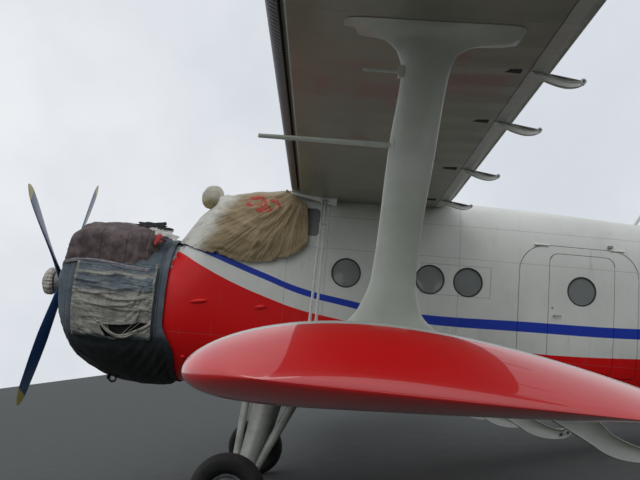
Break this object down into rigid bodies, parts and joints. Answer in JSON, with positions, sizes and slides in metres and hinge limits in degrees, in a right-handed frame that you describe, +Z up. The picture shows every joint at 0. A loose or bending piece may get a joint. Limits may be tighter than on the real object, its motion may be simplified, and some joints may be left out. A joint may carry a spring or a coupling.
{
  "type": "utility biplane",
  "caption": "Parked tail-wheel utility biplane with covers on its engine and cockpit, round cabin windows, a cargo door that holds a crew door, and bare hinge arms behind its wings.",
  "frame": {"origin": "on the ground, under the middle of the aircraft's box", "axes": "+X towards the nose, +Y to port, +Z up; parked on its wheels about 12 degrees nose up"},
  "size_m": [12.8544, 18.168, 4.4897],
  "materials": {
    "white_paint": "weathered satin off-white with red, blue and bare stripes",
    "wing_paint": "weathered silver-grey dope",
    "red_paint": "glossy deep red, worn",
    "dark_paint": "dull dark grey",
    "blade_paint": "satin blue-black",
    "steel": "dull grey metal",
    "engine_iron": "matt",
    "tyre": "matt, dusty",
    "window_glass": "clear, dark behind",
    "canvas": "coarse olive-brown canvas",
    "quilt_cloth": "quilted grey-blue cloth",
    "brown_cloth": "dark brown padded cloth",
    "bag_cloth": "beige cloth",
    "floor": "scuffed grey"
  },
  "bodies": {
    "root": {"aerial_mast": "white_paint", "cabin_floor": "floor", "cabin_shell": "white_paint", "cockpit_cover": "canvas", "cockpit_window_left": "window_glass", "cockpit_window_right": "window_glass", "cover_lump": "brown_cloth", "engine_block": "engine_iron", "engine_cover": "quilt_cloth", "engine_cowling": "steel", "fin": "white_paint", "interplane_strut_left": "white_paint", "interplane_strut_right": "white_paint", "landing_wires_left": "white_paint", "landing_wires_right": "white_paint", "lower_wing_left": "red_paint", "lower_wing_right": "red_paint", "main_gear_leg_left": "white_paint", "main_gear_leg_right": "white_paint", "nose_shell": "white_paint", "rear_fuselage": "white_paint", "tail_leg": "white_paint", "tail_strut_left": "white_paint", "tail_strut_right": "white_paint", "tailplane_left": "wing_paint", "tailplane_right": "wing_paint", "upper_wing_left": "wing_paint", "upper_wing_right": "wing_paint", "window_pane_left_1": "window_glass", "window_pane_left_2": "window_glass", "window_pane_left_3": "window_glass", "window_pane_right_1": "window_glass", "window_pane_right_2": "window_glass", "window_pane_right_3": "window_glass", "window_pane_right_4": "window_glass", "window_pane_right_5": "window_glass", "wing_centre_section": "wing_paint"},
    "propeller": {"propeller_hub": "steel", "propeller_blade_1": "blade_paint", "propeller_blade_2": "blade_paint", "propeller_blade_3": "blade_paint", "propeller_blade_4": "blade_paint", "hub_bag": "bag_cloth"},
    "main_wheel_left": {"main_tyre_left": "tyre", "main_hub_left": "steel"},
    "main_wheel_right": {"main_tyre_right": "tyre", "main_hub_right": "steel"},
    "tail_caster": {"tail_fork": "steel"},
    "tail_wheel": {"tail_tyre": "tyre", "tail_hub": "steel"},
    "rudder_panel": {"rudder": "wing_paint"},
    "elevator_pair": {"elevator_left": "wing_paint", "elevator_right": "wing_paint", "elevator_tube": "steel"},
    "cargo_door_panel": {"cargo_door": "white_paint"},
    "crew_door_panel": {"crew_door": "white_paint", "crew_door_pane": "window_glass"},
    "slat_bar_left": {"slat_left": "dark_paint"},
    "slat_bar_right": {"slat_right": "dark_paint"}
  },
  "joints": [
    {"name": "propeller_spin", "type": "hinge", "parent": "root", "child": "propeller", "pos_m": [6.11414, 0, 3.01611], "axis": [0.9784, 0, 0.2069], "continuous": true},
    {"name": "main_wheel_left_spin", "type": "hinge", "parent": "root", "child": "main_wheel_left", "pos_m": [4.02826, 1.72, 0.39997], "axis": [0, 1, 0], "continuous": true},
    {"name": "main_wheel_right_spin", "type": "hinge", "parent": "root", "child": "main_wheel_right", "pos_m": [4.02826, -1.72, 0.39997], "axis": [0, 1, 0], "continuous": true},
    {"name": "tail_swivel", "type": "hinge", "parent": "root", "child": "tail_caster", "pos_m": [-4.15595, 0, 0.53516], "axis": [0, 0, 1], "range_deg": [-60, 60]},
    {"name": "tail_wheel_spin", "type": "hinge", "parent": "tail_caster", "child": "tail_wheel", "pos_m": [-4.30595, 0, 0.23516], "axis": [0, 1, 0], "continuous": true},
    {"name": "rudder_turn", "type": "hinge", "parent": "root", "child": "rudder_panel", "pos_m": [-5.50608, 0, 2.09204], "axis": [-0.2069, 0, 0.9784], "range_deg": [-28, 28]},
    {"name": "elevator_turn", "type": "hinge", "parent": "root", "child": "elevator_pair", "pos_m": [-5.03991, 0, 1.43426], "axis": [0, 1, 0], "range_deg": [-22.5, 42]},
    {"name": "cargo_door_hinge", "type": "hinge", "parent": "root", "child": "cargo_door_panel", "pos_m": [-0.39545, 0.797, 2.52677], "axis": [0.9763, 0.0656, 0.2064], "range_deg": [0, 85]},
    {"name": "crew_door_hinge", "type": "hinge", "parent": "cargo_door_panel", "child": "crew_door_panel", "pos_m": [-0.64899, 0.7, 1.64729], "axis": [0.2069, 0, -0.9784], "range_deg": [0, 88]},
    {"name": "slat_left_slide", "type": "slide", "parent": "root", "child": "slat_bar_left", "axis": [0.9714, -0.0014, 0.2375], "range_m": [0, 0.1]},
    {"name": "slat_right_slide", "type": "slide", "parent": "root", "child": "slat_bar_right", "axis": [0.9714, 0.0014, 0.2375], "range_m": [0, 0.1]}
  ]
}
